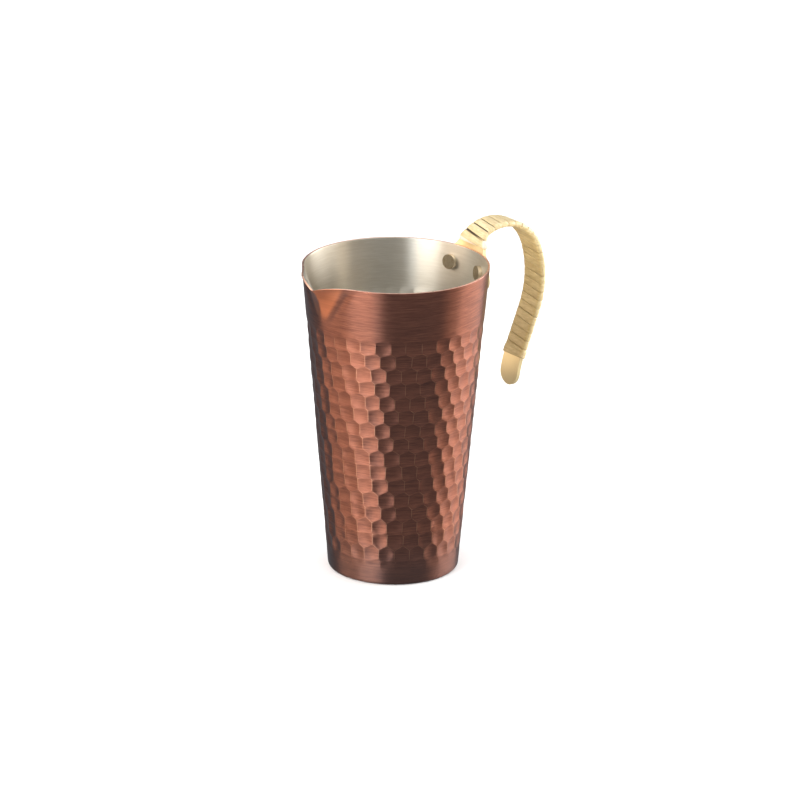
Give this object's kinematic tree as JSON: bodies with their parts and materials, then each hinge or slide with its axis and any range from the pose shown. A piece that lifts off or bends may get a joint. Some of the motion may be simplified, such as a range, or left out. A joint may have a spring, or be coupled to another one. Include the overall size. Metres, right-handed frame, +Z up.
{
  "type": "pouring mug",
  "caption": "Tapered hammered copper mug, tinned inside, with a pointed pouring lip and an open brass hook handle bound with split cane.",
  "frame": {"origin": "centre of the base on the cup's axis", "axes": "+Z up along the cup's axis, +X towards the handle, -X towards the pouring lip"},
  "size_m": [0.1126, 0.075, 0.1371],
  "materials": {
    "copper": "antiqued copper, hammered in hexagonal facets and brushed",
    "tin": "brushed tin plate",
    "strap_brass": "satin brass",
    "cane": "natural split cane, semi-matt",
    "rivet_nickel": "nickel plated"
  },
  "bodies": {
    "root": {"copper_body": "copper", "tin_lining": "tin", "handle_strap": "strap_brass", "rattan_winding": "cane", "rivet_left": "rivet_nickel", "rivet_right": "rivet_nickel"}
  },
  "joints": []
}
